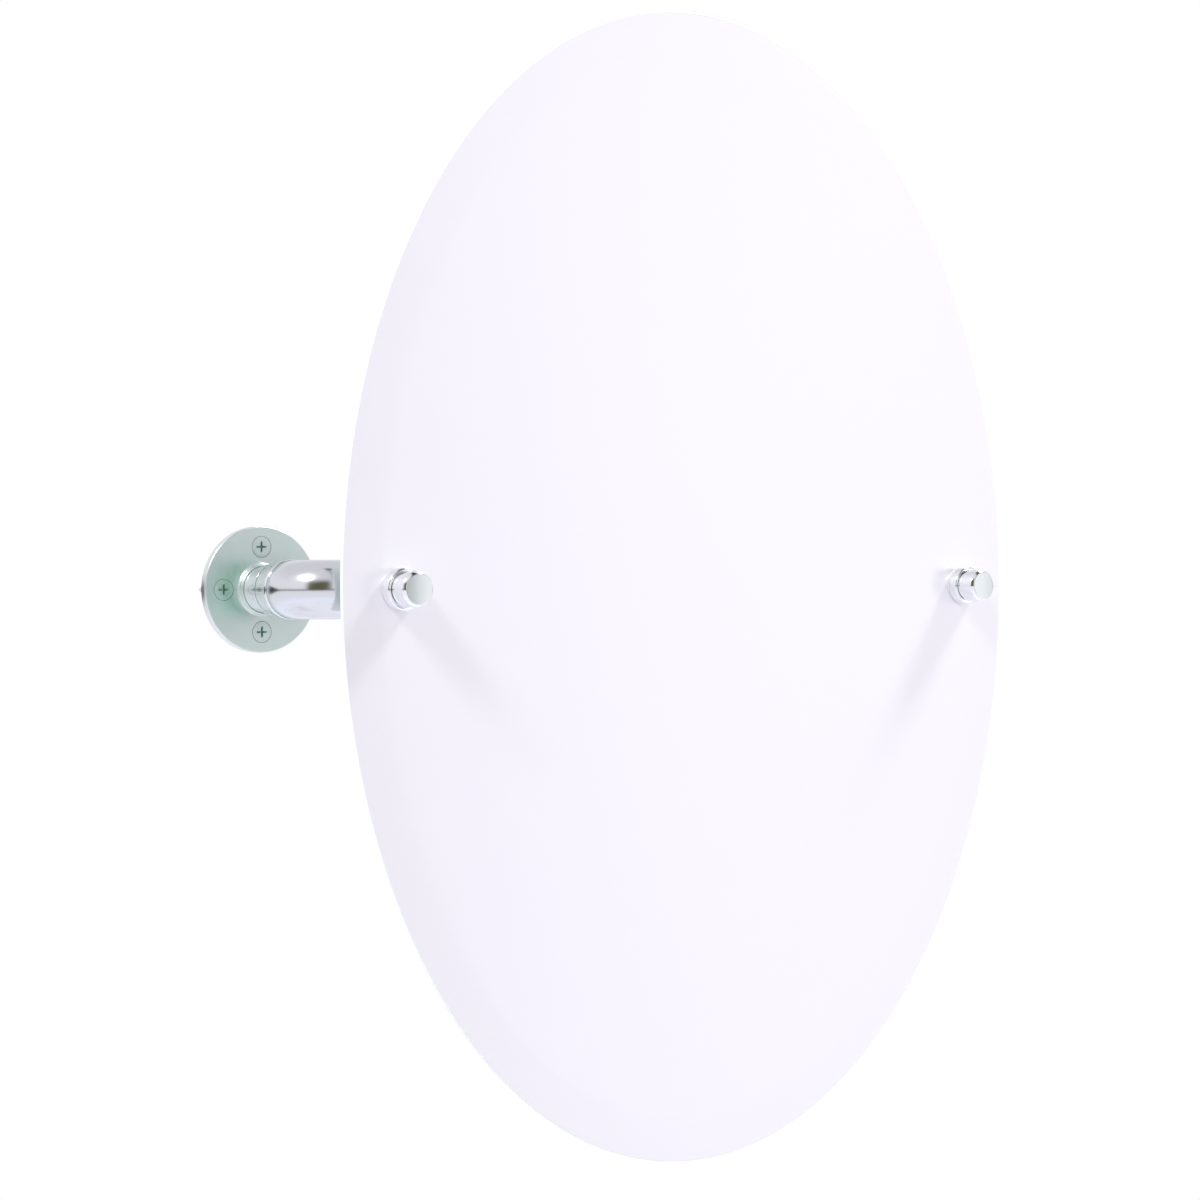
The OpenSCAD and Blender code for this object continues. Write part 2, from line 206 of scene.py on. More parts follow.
def ground_edge():
    """Ground and polished rim of float glass. The wave node makes 20 radians to a unit."""
    material, tree, place = new_material("float glass, ground rim")
    lines = add_node(tree, "ShaderNodeTexWave", {
        "Vector": place, "Scale": 2 * math.pi / (WAVE_RADIANS * GRIND_PITCH * MM),
        "Distortion": 1.5}, bands_direction="Y")
    relief = add_node(tree, "ShaderNodeBump", {
        "Height": lines.outputs["Fac"], "Strength": 0.15, "Distance": 0.02 * MM})
    shader = add_node(tree, "ShaderNodeBsdfPrincipled", {
        "Base Color": linear("#f3f8f5"), "Metallic": 0.2, "Roughness": 0.32, "IOR": 1.52,
        "Normal": relief.outputs["Normal"]})
    return finish_material(material, tree, shader)


GLASS_RIM = ground_edge()

# %% [markdown]
# ## Backing paint
# Two coats of pale grey paint seal the silver. They go on as a poured curtain, which leaves a
# fine orange peel about two millimetres across and no gloss. The curtain runs a little thicker
# and thinner, nine times to the metre, and that changes the shade a little.

# %% Backing paint
PEEL = 2.0
FLOWS_PER_M = 9.0


def backing_paint():
    """Matt pale grey paint over the silver."""
    material, tree, place = new_material("mirror backing paint")
    peel = add_node(tree, "ShaderNodeTexNoise", {
        "Vector": place, "Scale": 1 / (PEEL * MM), "Detail": 2.0})
    flow = add_node(tree, "ShaderNodeTexNoise", {
        "Vector": place, "Scale": FLOWS_PER_M, "Detail": 4.0})
    shade = add_node(tree, "ShaderNodeMix", {
        "Factor": flow.outputs["Fac"], "A": linear("#d5dddb"), "B": linear("#dde3e1")},
        data_type="RGBA")
    relief = add_node(tree, "ShaderNodeBump", {
        "Height": peel.outputs["Fac"], "Strength": 0.25, "Distance": 0.1 * MM})
    shader = add_node(tree, "ShaderNodeBsdfPrincipled", {
        "Base Color": shade.outputs["Result"], "Roughness": 0.62,
        "Normal": relief.outputs["Normal"]})
    return finish_material(material, tree, shader)


BACK_PAINT = backing_paint()

# %% [markdown]
# ## Chrome plate
# The pipe parts are polished and bright chromed, so they are nearly mirrors with a cool tint.
# The flange is satin: plated over a finely blasted surface, which blurs the reflections. One
# function makes all of them from the roughness, the grain's size and its height. Wiping and
# polishing leave marks about 17 mm wide, 60 to the metre, where the gloss changes a little.
#
# In the photograph the neck shows in the flange's satin face as a green zone, though the neck
# itself isn't green. So the neck's chrome has a second, darker green colour, which only metal that
# reflects the neck sees. It is a painted reflection, which lays painted shade on the flange's face
# beside the neck.

# %% Chrome
WIPE_MARKS_PER_M = 60.0


def chrome_plate(name, colour, rough, rough_spread, grain_mm, grain_height_mm, painted_reflection=None):
    """Chrome plate with a fine grain, and a painted reflection colour that other metal sees, if
    given.
    """
    material, tree, place = new_material(name)
    grain = add_node(tree, "ShaderNodeTexNoise", {
        "Vector": place, "Scale": 1 / (grain_mm * MM), "Detail": 2.0})
    wipe = add_node(tree, "ShaderNodeTexNoise", {
        "Vector": place, "Scale": WIPE_MARKS_PER_M, "Detail": 3.0})
    gloss = add_node(tree, "ShaderNodeMapRange", {
        "Value": wipe.outputs["Fac"], "From Min": 0.3, "From Max": 0.7,
        "To Min": rough, "To Max": rough + rough_spread})
    relief = add_node(tree, "ShaderNodeBump", {
        "Height": grain.outputs["Fac"], "Strength": 0.5, "Distance": grain_height_mm * MM})
    shade = linear(colour)
    # Painted reflection: glossy rays from other metal see this second colour, not the chrome's
    # own.
    if painted_reflection:
        ray = add_node(tree, "ShaderNodeLightPath")
        shade = add_node(tree, "ShaderNodeMix", {
            "Factor": ray.outputs["Is Glossy Ray"], "A": shade, "B": linear(painted_reflection)},
            data_type="RGBA").outputs["Result"]
    shader = add_node(tree, "ShaderNodeBsdfPrincipled", {
        "Base Color": shade, "Metallic": 1.0, "Roughness": gloss.outputs["Result"],
        "Normal": relief.outputs["Normal"]})
    return finish_material(material, tree, shader)


# The neck's greener second colour is a painted reflection, seen as painted shade on the flange.
NECK_CHROME = chrome_plate(
    "bright chrome plate, neck", "#f0f2f4", 0.08, 0.05, 6.0, 0.03, painted_reflection="#acd5c4")
BRIGHT_CHROME = chrome_plate("bright chrome plate", "#e4e7eb", 0.08, 0.05, 6.0, 0.03)
CAST_CHROME = chrome_plate("bright chrome plate, cast elbow", "#dfe1e7", 0.12, 0.08, 3.5, 0.05)
SATIN_CHROME = chrome_plate("satin chrome plate, blasted", "#e2e9e8", 0.28, 0.06, 0.6, 0.04)
SCREW_CHROME = chrome_plate("chromed screw steel", "#dde4e3", 0.28, 0.05, 1.2, 0.02)

# %% [markdown]
# ## Bare metal and painted shade in the recesses
# Plating hardly reaches into a screw's cross recess or down the wall of a countersink, so these
# stay dull bare steel. Their colours are painted shade: the cross recess is a pale green-grey, and
# the narrow gap round each screw head, which catches less light than the cross, is painted darker.
# These thin painted dark lines are what makes the screws readable from afar.

# %% Bare recess, painted shade
# Both colours are painted shade on dull bare steel: pale in the cross recess, dark in the
# countersinks.
RECESS_STEEL_PAINTED_SHADE = chrome_plate("bare steel, painted shade in recesses", "#a4c4b6", 0.5, 0.1, 1.0, 0.05)
SINK_STEEL_PAINTED_SHADE = chrome_plate("bare steel, painted shade in countersinks", "#5c7a70", 0.5, 0.1, 1.0, 0.05)

# %% [markdown]
# ## Turned knob finish
# A knob's face was cut on a lathe before it was plated, so very fine rings run round its axis.
# They are drawn wider than real, or they wouldn't show. The rings need the distance from each
# knob's own axis, which comes from the side that the point is on.

# %% Turned chrome
TURNING_PITCH = 0.6


def turned_chrome():
    """Satin chrome over lathe rings about the knob's axis."""
    material, tree, place = new_material("satin chrome plate, turned")
    split = add_node(tree, "ShaderNodeSeparateXYZ", {"Vector": place})
    across = add_node(tree, "ShaderNodeMath", {0: split.outputs["X"]}, operation="ABSOLUTE")
    centred = add_node(tree, "ShaderNodeMath", {
        0: across.outputs[0], 1: KNOB_X * MM}, operation="SUBTRACT")
    flat = add_node(tree, "ShaderNodeCombineXYZ", {
        "X": centred.outputs[0], "Y": split.outputs["Z"]})
    reach = add_node(tree, "ShaderNodeVectorMath", {0: flat.outputs[0]}, operation="LENGTH")
    turn = add_node(tree, "ShaderNodeMath", {
        0: reach.outputs["Value"], 1: 2 * math.pi / (TURNING_PITCH * MM)}, operation="MULTIPLY")
    ring = add_node(tree, "ShaderNodeMath", {0: turn.outputs[0]}, operation="SINE")
    relief = add_node(tree, "ShaderNodeBump", {
        "Height": ring.outputs[0], "Strength": 0.3, "Distance": 0.01 * MM})
    shader = add_node(tree, "ShaderNodeBsdfPrincipled", {
        "Base Color": linear("#dbe1e2"), "Metallic": 1.0, "Roughness": 0.24,
        "Normal": relief.outputs["Normal"]})
    return finish_material(material, tree, shader)


KNOB_FACE = turned_chrome()
KNOB_CHROME = chrome_plate("bright chrome plate, knob", "#f4f6f8", 0.1, 0.05, 5.0, 0.01)

# %% [markdown]
# ## Plated steel and nylon
# Bolts and nuts are zinc plated: a paler, slightly mottled grey. The washers are moulded nylon,
# milky and soft edged, with a little light passing through.

# %% Zinc and nylon
ZINC_STEEL = chrome_plate("zinc plated steel", "#b4b6b3", 0.3, 0.12, 2.0, 0.02)
MILKINESS = 4.0


def moulded_nylon():
    """Natural nylon, moulded."""
    material, tree, place = new_material("natural nylon, moulded")
    milk = add_node(tree, "ShaderNodeTexNoise", {
        "Vector": place, "Scale": 1 / (MILKINESS * MM), "Detail": 2.0})
    tone = add_node(tree, "ShaderNodeMix", {
        "Factor": milk.outputs["Fac"], "A": linear("#e4e3de"), "B": linear("#f1f0ec")},
        data_type="RGBA")
    shader = add_node(tree, "ShaderNodeBsdfPrincipled", {
        "Base Color": tone.outputs["Result"], "Roughness": 0.45, "IOR": 1.53,
        "Transmission Weight": 0.15})
    return finish_material(material, tree, shader)


NYLON = moulded_nylon()

# %% [markdown]
# ## Helpers for modelling
# Operators act on whatever is selected, so each step starts by picking just the pieces that it
# works on. A boolean takes its cutter away again, so that no loose tool is left in the scene.

# %% Selecting and applying
TOUCHING = 0.002


def clear_selection():
    """Leaves object mode with nothing selected."""
    if bpy.context.object and bpy.context.object.mode != "OBJECT":
        bpy.ops.object.mode_set(mode="OBJECT")
    bpy.ops.object.select_all(action="DESELECT")


def pick(first, *others):
    """Selects these pieces and nothing else, and makes the first one active."""
    clear_selection()
    for piece in (first, *others):
        piece.select_set(True)
    bpy.context.view_layer.objects.active = first


def start_editing(piece):
    """Opens edit mode on the piece alone, set to vertices."""
    pick(piece)
    bpy.ops.object.mode_set(mode="EDIT")
    bpy.ops.mesh.select_mode(type="VERT")


def apply_place(piece):
    """Moves the piece's place, turn and scale into its mesh."""
    pick(piece)
    bpy.ops.object.transform_apply(location=True, rotation=True, scale=True)


def apply_modifier(piece, kind, **settings):
    """Adds a modifier with its settings and applies it."""
    pick(piece)
    modifier = piece.modifiers.new(kind.lower(), kind)
    for name, value in settings.items():
        setattr(modifier, name, value)
    bpy.ops.object.modifier_apply(modifier=modifier.name)


def cut_or_join(piece, tool, operation="DIFFERENCE"):
    """Cuts the tool out of the piece, or joins it to the piece, and deletes the tool."""
    apply_modifier(piece, "BOOLEAN", object=tool, operation=operation, solver="EXACT")
    bpy.data.objects.remove(tool)


def close_up(piece, smooth_angle=35):
    """Merges doubles, points the faces outwards and smooths all but the sharp edges."""
    start_editing(piece)
    bpy.ops.mesh.select_all(action="SELECT")
    bpy.ops.mesh.remove_doubles(threshold=TOUCHING * MM)
    bpy.ops.mesh.normals_make_consistent(inside=False)
    bpy.ops.object.mode_set(mode="OBJECT")
    bpy.ops.object.shade_smooth_by_angle(angle=math.radians(smooth_angle))


print("points closer than", TOUCHING, "mm are merged")

# %% [markdown]
# ## Turning on a lathe
# Most parts of the bracket and the knobs are turned. A circle is drawn at the first station of
# the profile and pulled out ring by ring, each ring scaled to its own radius. Corners are broken
# into short arcs first, because a real edge is never sharp and its highlight shows that.

# %% Lathe


def round_corners(profile, closed_ring, steps=4):
    """Breaks each profile corner (radius, height, round) into an arc of short steps."""
    count = len(profile)
    path = []
    for i, (r, h, size) in enumerate(profile):
        here = Vector((r, h))
        before = Vector(profile[i - 1][:2])
        after = Vector(profile[(i + 1) % count][:2])
        if i == 0 and not closed_ring:
            before = Vector((0, h))
        if i == count - 1 and not closed_ring:
            after = Vector((0, h))
        if size <= 0:
            path.append((r, h))
            continue
        back = (before - here).normalized()
        ahead = (after - here).normalized()
        for k in range(steps + 1):
            t = k / steps
            point = here + back * size * (1 - t) ** 2 + ahead * size * t ** 2
            path.append((point.x, point.y))
    return path


def turned_piece(name, place, profile, facets=96, closed_ring=False):
    """Turns a profile of (radius, height, round) stations about the piece's own Z."""
    path = round_corners(profile, closed_ring)
    if closed_ring:
        path.append(path[0])
    last_r, last_h = path[0]
    clear_selection()
    bpy.ops.mesh.primitive_circle_add(
        vertices=facets, radius=last_r * MM, location=(0, 0, last_h * MM),
        fill_type="NOTHING" if closed_ring else "NGON")
    piece = bpy.context.object
    piece.name = name
    apply_place(piece)
    start_editing(piece)
    bpy.ops.mesh.select_all(action="SELECT")
    for r, h in path[1:]:
        bpy.ops.mesh.extrude_region_move(
            TRANSFORM_OT_translate={"value": (0, 0, (h - last_h) * MM)})
        scale = r / last_r
        bpy.ops.transform.resize(value=(scale, scale, 1), center_override=(0, 0, h * MM))
        last_r, last_h = r, h
    bpy.ops.object.mode_set(mode="OBJECT")
    close_up(piece)
    piece.matrix_world = place
    apply_place(piece)
    print(name, "turned from", len(path), "rings of", facets, "facets")
    return piece


# %% [markdown]
# ## Places of turned pieces
# A turned piece stands either out of the wall or along the pivot, so two small functions give
# those places. The lathe moves the piece there and then keeps the place in its mesh, so that the
# object itself stays at the origin, as the CAD nodes' objects do.

# %% Places of turned pieces
LEFT = -1


def out_of_wall(x):
    """Places a piece's own Z out of the wall at a distance along it."""
    return Matrix.Translation((x * MM, 0, 0)) @ Matrix.Rotation(math.radians(90), 4, "X")


def along_pivot(side):
    """Places a piece's own Z on the pivot axis, inwards from the elbow's outlet."""
    turn = Matrix.Rotation(math.radians(-90 * side), 4, "Y")
    return Matrix.Translation((side * OUTLET_X * MM, -PIVOT_DEPTH * MM, 0)) @ turn


print("the left outlet is at", tuple(round(v, 4) for v in along_pivot(LEFT).translation))

# %% [markdown]
# ## Mirrored pairs
# The two brackets mirror each other, so only the left one is modelled, and its copy is flipped.
# A flip turns a mesh inside out, so the copy's faces are pointed outwards again.

# %% Mirrored pairs


def duplicate(piece):
    """Copies a piece with its own mesh."""
    pick(piece)
    bpy.ops.object.duplicate()
    return bpy.context.object


def mirrored_copy(piece, name):
    """Copies a left piece to the right side, turned right side out again."""
    twin = duplicate(piece)
    twin.name = name
    twin.scale.x = -1
    apply_place(twin)
    start_editing(twin)
    bpy.ops.mesh.select_all(action="SELECT")
    bpy.ops.mesh.normals_make_consistent(inside=False)
    bpy.ops.object.mode_set(mode="OBJECT")
    return twin


# %% [markdown]
# ## Finishes and bodies
# Each finished piece gets its material and the body that it moves with, and the CAD nodes that it
# stands for are hidden. Where some faces were worked another way, such as a ground rim or a turned
# end, a test on each face picks them out for a second finish.

# %% Finishes and bodies


def second_finish(piece, material, belongs):
    """Gives the faces that pass a test the piece's second material."""
    piece.data.materials.append(material)
    for face in piece.data.polygons:
        face.material_index = 1 if belongs(face) else 0


def dress(piece, material, body, slot, *nodes):
    """Gives the piece its material and body, hides the CAD nodes it stands for; slot is not used.
    """
    if not piece.data.materials:
        piece.data.materials.append(material)
    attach(piece, body)
    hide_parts(*nodes)
    print(piece.name, len(piece.data.polygons), "faces")


def dress_pair(left, shape, material, body, slot, node):
    """Dresses a left piece and its mirrored copy in the places of the two CAD nodes."""
    if not left.data.materials:
        left.data.materials.append(material)
    right = mirrored_copy(left, "right_" + shape)
    dress(left, material, body, slot, "left_" + node)
    dress(right, material, body, slot, "right_" + node)


# %% [markdown]
# ## Rings and holes
# Two tools help with the glass. One selects the edges that run round the plate at a given depth,
# found by their place, because an operator can't be pointed at them by hand here. The other
# drills a hole, as a glazier does: a round cutter goes through the whole plate.

# %% Rings and holes


def select_rings(piece, levels=None, tolerance=0.01):
    """Selects the edges that lie flat at the given depths from the wall, or at any one depth."""
    bpy.ops.mesh.select_mode(type="EDGE")
    bpy.ops.mesh.select_all(action="DESELECT")
    bpy.ops.object.mode_set(mode="OBJECT")
    for edge in piece.data.edges:
        near, far = [-piece.data.vertices[v].co.y / MM for v in edge.vertices]
        wanted = levels is None or any(abs(near - level) < tolerance for level in levels)
        edge.select = abs(near - far) < tolerance and wanted
    bpy.ops.object.mode_set(mode="EDIT")


def drill(piece, x, radius, low, high):
    """Cuts a round hole out of the wall through the piece."""
    clear_selection()
    bpy.ops.mesh.primitive_cylinder_add(
        vertices=64, radius=radius * MM, depth=(high - low) * MM,
        location=(x * MM, -(low + high) / 2 * MM, 0), rotation=(math.radians(90), 0, 0))
    cut_or_join(piece, bpy.context.object)
    print("drilled a hole of", 2 * radius, "mm at", x, "mm")


# %% [markdown]
# ## Glass plate
# The plate is a disc drawn to an oval and pulled out to the thickness of the rim. Insetting the
# front face by the bevel's width and lifting it makes the ground bevel in one step. The ridge
# where the bevel meets the face is marked sharp, because it is too shallow for the angle rule.

# %% Glass plate
OVAL_FACETS = 256
RIM_T = 3.0
BEVEL_W = 25.4
ARRIS = 0.35
GLASS_HOLE_R = 6.5
DRILL_PAST = 2


def make_glass():
    """Oval plate with a ground bevel, an arris round the rim and two holes."""
    clear_selection()
    bpy.ops.mesh.primitive_circle_add(
        vertices=OVAL_FACETS, radius=GLASS_W / 2 * MM, fill_type="NGON",
        location=(0, -GLASS_BACK * MM, 0), rotation=(math.radians(90), 0, 0))
    plate = bpy.context.object
    plate.name = "mirror_plate"
    apply_place(plate)
    start_editing(plate)
    bpy.ops.mesh.select_all(action="SELECT")
    bpy.ops.transform.resize(value=(1, 1, GLASS_H / GLASS_W), center_override=(0, 0, 0))
    bpy.ops.mesh.extrude_region_move(TRANSFORM_OT_translate={"value": (0, -RIM_T * MM, 0)})
    bevel_lift = GLASS_FRONT - GLASS_BACK - RIM_T
    bpy.ops.mesh.inset(thickness=BEVEL_W * MM, depth=bevel_lift * MM, use_even_offset=True)
    select_rings(plate, [GLASS_BACK, GLASS_BACK + RIM_T])
    bpy.ops.mesh.bevel(offset=ARRIS * MM, segments=2, affect="EDGES")
    for side in (-1, 1):
        drill(plate, side * KNOB_X, GLASS_HOLE_R,
              GLASS_BACK - DRILL_PAST, GLASS_FRONT + DRILL_PAST)
    close_up(plate)
    start_editing(plate)
    select_rings(plate)
    bpy.ops.mesh.mark_sharp()
    bpy.ops.object.mode_set(mode="OBJECT")
    plate.data.materials.append(GLASS_FACE)
    second_finish(plate, GLASS_RIM, lambda face: face.normal.y > -0.9)
    return plate


dress(make_glass(), GLASS_FACE, "mirror", "mirror_face", "mirror_glass")

# %% [markdown]
# ## Flange
# The flange is a turned disc with a two-step hub that the neck tube stands in. A cutter shaped
# like the real countersink is taken out of it four times. Narrow support rings beside the
# rounded edge keep the flat face flat in its reflections.

# %% Flange
FLANGE_R = 38.5
HUB_R = 16.2
BEAD_TOP = 6.9
FLANGE_PROFILE = [
    (FLANGE_R, 0, 0.2), (FLANGE_R, FLANGE_T, 0.9), (FLANGE_R - 1.2, FLANGE_T, 0),
    (HUB_R + 0.7, FLANGE_T, 0), (HUB_R, FLANGE_T, 0.25), (HUB_R, BEAD_TOP, 0.75),
    (HUB_R - 1, BEAD_TOP, 0.2), (HUB_R - 1, HUB_TOP, 0.45), (SOCKET_R, HUB_TOP, 0.1),
    (SOCKET_R, 0, 0.1)]
SCREW_CIRCLE_R = 25.9
SCREW_TURNS = (0, 90, 180, 270)
SINK_FACETS = 64
SINK_R = 6.6
SINK_PROFILE = [(3.45, -1, 0), (3.45, 1.65, 0), (SINK_R, 4.8, 0), (SINK_R, 6, 0)]


def screw_place(side, turn):
    """Place of one wall screw, with its own Z out of the wall."""
    out = Matrix.Translation((SCREW_CIRCLE_R * MM, 0, 0))
    swing = Matrix.Rotation(math.radians(turn), 4, "Z") @ out
    upright = Matrix.Rotation(math.radians(-turn), 4, "Z")
    return out_of_wall(side * FLANGE_X) @ swing @ upright


def make_flange():
    """Turned flange with four countersunk holes, with painted shade on their walls."""
    plate = turned_piece(
        "left_wall_flange", out_of_wall(LEFT * FLANGE_X), FLANGE_PROFILE, 192, closed_ring=True)
    screws = [screw_place(LEFT, turn) for turn in SCREW_TURNS]
    off_the_seams = Matrix.Rotation(math.pi / SINK_FACETS, 4, "Z")
    for place in screws:
        cut_or_join(plate, turned_piece(
            "sink_cutter", place @ off_the_seams, SINK_PROFILE, SINK_FACETS))
    close_up(plate, 30)
    plate.data.materials.append(SATIN_CHROME)

    def in_a_sink(face):
        beside = [(place.inverted() @ face.center).xy.length for place in screws]
        return min(beside) < (SINK_R + 0.1) * MM and abs(face.normal.y) < 0.95

    # The countersinks' walls get painted shade.
    second_finish(plate, SINK_STEEL_PAINTED_SHADE, in_a_sink)
    return plate


dress_pair(make_flange(), "wall_flange", SATIN_CHROME, "wall_mounts", "chromed_metal", "flange")

# %% [markdown]
# ## Screw thread
# A wall screw bites with a coarse thread. A small triangle, stood on end beside the shank, is
# swept by the Screw modifier, one turn for each pitch, and its two open ends are filled.

# %% Screw thread
THREAD_PITCH = 2.5
THREAD_TURNS = 8
THREAD_STEPS = 20
THREAD_START = -22.0
THREAD_R = 2.45
THREAD_TOOTH = 0.42


def make_thread():
    """Helical ridge of the screw, standing on its own Z."""
    start = (THREAD_R * MM, 0, THREAD_START * MM)
    clear_selection()
    bpy.ops.mesh.primitive_circle_add(
        vertices=3, radius=THREAD_TOOTH * MM, fill_type="NOTHING", location=start,
        rotation=(math.radians(90), 0, 0))
    ridge = bpy.context.object
    ridge.name = "thread_ridge"
    apply_place(ridge)
    start_editing(ridge)
    bpy.ops.mesh.select_all(action="SELECT")
    bpy.ops.transform.rotate(value=math.radians(90), orient_axis="Y", center_override=start)
    bpy.ops.object.mode_set(mode="OBJECT")
    apply_modifier(
        ridge, "SCREW", axis="Z", screw_offset=THREAD_PITCH * MM, iterations=THREAD_TURNS,
        steps=THREAD_STEPS, render_steps=THREAD_STEPS, use_merge_vertices=True,
        merge_threshold=TOUCHING / 2 * MM)
    start_editing(ridge)
    bpy.ops.mesh.select_all(action="SELECT")
    bpy.ops.mesh.fill_holes(sides=4)
    bpy.ops.object.mode_set(mode="OBJECT")
    close_up(ridge, 60)
    print("thread with", len(ridge.data.polygons), "faces")
    return ridge


# %% [markdown]
# ## Cross recess
# The driver's cross is stamped with slanted ends. It is cut by a bar whose bottom face is drawn
# in, once along X and once along Y.

# %% Cross recess
RECESS_SPAN = 7.6
RECESS_ARM = 1.3
RECESS_DEPTH = 2.4
RECESS_PAST = 0.5
BOTTOM_SPAN = 0.4
BOTTOM_ARM = 0.75


def cut_recess(screw):
    """Cuts the cross recess with a bar that narrows downwards, along X and then along Y."""
    bar_height = RECESS_DEPTH + RECESS_PAST
    bar_middle = FLANGE_T - RECESS_DEPTH / 2 + RECESS_PAST / 2
    for turn in (0, 90):
        clear_selection()
        bpy.ops.mesh.primitive_cube_add(size=MM, location=(0, 0, bar_middle * MM))
        bar = bpy.context.object
        bar.scale = (RECESS_SPAN, RECESS_ARM, bar_height)
        apply_place(bar)
        start_editing(bar)
        bpy.ops.mesh.select_all(action="DESELECT")
        bpy.ops.object.mode_set(mode="OBJECT")
        for face in bar.data.polygons:
            face.select = face.normal.z < -0.9
        bpy.ops.object.mode_set(mode="EDIT")
        bpy.ops.mesh.select_mode(type="FACE")
        bpy.ops.transform.resize(value=(BOTTOM_SPAN, BOTTOM_ARM, 1))
        bpy.ops.object.mode_set(mode="OBJECT")
        bar.rotation_euler.z = math.radians(turn)
        apply_place(bar)
        cut_or_join(screw, bar)
    print("cross recess", RECESS_SPAN, "mm wide and", RECESS_DEPTH, "mm deep")


# %% [markdown]
# ## Wall screws
# Each screw is a flat head on a cone and a shank that ends in a point. The head's face is level
# with the flange. One screw is made, copied to the four holes, and the four are joined, because
# one CAD node holds all of a flange's screws.

# %% Wall screws
SCREW_HEAD_R = 6.35
SCREW_PROFILE = [
    (0.15, -26.75, 0), (2.35, -22.25, 0), (2.35, -0.6, 0), (3.2, 0, 0), (3.2, 1.45, 0),
    (SCREW_HEAD_R, 4.6, 0), (SCREW_HEAD_R, FLANGE_T, 0.12)]


def in_recess(face):
    """Whether a face of the screw lies in its cross recess."""
    floor = (FLANGE_T - RECESS_DEPTH - 0.1) * MM
    brim = (FLANGE_T - 0.05) * MM
    return floor < face.center.z < brim and face.center.xy.length < RECESS_SPAN / 2 * MM


def make_wall_screws():
    """One screw with head, recess and thread, copied to the four holes and joined."""
    first = turned_piece("screw_blank", Matrix.Identity(4), SCREW_PROFILE, 64)
    cut_recess(first)
    close_up(first, 25)
    first.data.materials.append(SCREW_CHROME)
    # The cross recess gets painted shade.
    second_finish(first, RECESS_STEEL_PAINTED_SHADE, in_recess)
    pick(first, make_thread())
    bpy.ops.object.join()
    copies = []
    for turn in SCREW_TURNS:
        copy = duplicate(first)
        copy.matrix_world = screw_place(LEFT, turn)
        apply_place(copy)
        copies.append(copy)
    bpy.data.objects.remove(first)
    pick(*copies)
    bpy.ops.object.join()
    copies[0].name = "left_flat_head_screws"
    return copies[0]


dress_pair(make_wall_screws(), "flat_head_screws", SCREW_CHROME, "wall_mounts", "screw_metal",
           "wall_screws")

# %% [markdown]
# ## Neck and lock sleeve
# The neck is a plain tube with one groove. The lock sleeve is a turned ring on it with a groove
# near the wall end and a wider band where it presses on the elbow. Their profiles are closed
# rings, bore and all, so the lathe makes each tube in one go and no hole has to be cut.

# %% Neck and sleeve
NECK_BORE_R = 10.5
NECK_END = 50
SLEEVE_R = 16.1
BAND_R = 18
BAND_START = 38.3
NECK_PROFILE = [
    (NECK_R, 0.3, 0.2), (NECK_R, 21, 0.15), (13.7, 21, 0), (13.7, SLEEVE_START, 0),
    (NECK_R, SLEEVE_START, 0), (NECK_R, NECK_END, 0.2), (NECK_BORE_R, NECK_END, 0.1),
    (NECK_BORE_R, 0.3, 0.1)]
SLEEVE_PROFILE = [
    (SLEEVE_R, SLEEVE_START, 0.5), (SLEEVE_R, 25, 0.25), (15.4, 25, 0.1), (15.4, 26.2, 0.1),
    (SLEEVE_R, 26.2, 0.25), (SLEEVE_R, BAND_START, 0.6), (BAND_R, BAND_START, 0.8),
    (BAND_R, ELBOW_FACE, 0.5), (SOCKET_R, ELBOW_FACE, 0.1), (SOCKET_R, SLEEVE_START, 0.1)]

# Neck and sleeve share NECK_CHROME, whose second colour is a painted reflection: painted shade on
# the flange.
for shape, profile, node in (
        ("neck_tube", NECK_PROFILE, "neck"), ("neck_sleeve", SLEEVE_PROFILE, "lock_sleeve")):
    ring = turned_piece(
        "left_" + shape, out_of_wall(LEFT * FLANGE_X), profile, 128, closed_ring=True)
    dress_pair(ring, shape, NECK_CHROME, "wall_mounts", "chromed_metal", node)

# %% [markdown]
# ## Elbow
# A bent pipe is the path of a circle: it is pulled straight out of the mouth, spun a quarter
# turn about the inner corner, and pulled straight to the outlet. Solidify gives it its wall
# inwards, and the edges at both ends are broken.

# %% Elbow
ELBOW_WALL = 3.4
BEND_R = 18.85
MOUTH_LAND = 4.7
OUTLET_LAND = 5.3
END_BREAK = 0.35


def make_elbow():
    """Quarter bend with a straight land at each end."""
    clear_selection()
    bpy.ops.mesh.primitive_circle_add(
        vertices=128, radius=ELBOW_R * MM, fill_type="NOTHING",
        location=(-FLANGE_X * MM, -ELBOW_FACE * MM, 0), rotation=(math.radians(90), 0, 0))
    pipe = bpy.context.object
    pipe.name = "left_pipe_elbow"
    apply_place(pipe)
    start_editing(pipe)
    bpy.ops.mesh.select_all(action="SELECT")
    bpy.ops.mesh.extrude_region_move(TRANSFORM_OT_translate={"value": (0, -MOUTH_LAND * MM, 0)})
    corner = ((BEND_R - FLANGE_X) * MM, -(ELBOW_FACE + MOUTH_LAND) * MM, 0)
    bpy.ops.mesh.spin(steps=48, angle=math.radians(-90), center=corner, axis=(0, 0, 1))
    bpy.ops.mesh.extrude_region_move(TRANSFORM_OT_translate={"value": (OUTLET_LAND * MM, 0, 0)})
    close_up(pipe)
    low = min(v.co.y for v in pipe.data.vertices) / MM
    print("elbow reaches", round(-low, 2), "mm from the wall, should be", PIVOT_DEPTH + ELBOW_R)
    apply_modifier(pipe, "SOLIDIFY", thickness=ELBOW_WALL * MM, offset=-1)
    apply_modifier(pipe, "BEVEL", width=END_BREAK * MM, segments=3, limit_method="ANGLE",
                   angle_limit=math.radians(50))
    close_up(pipe)
    return pipe


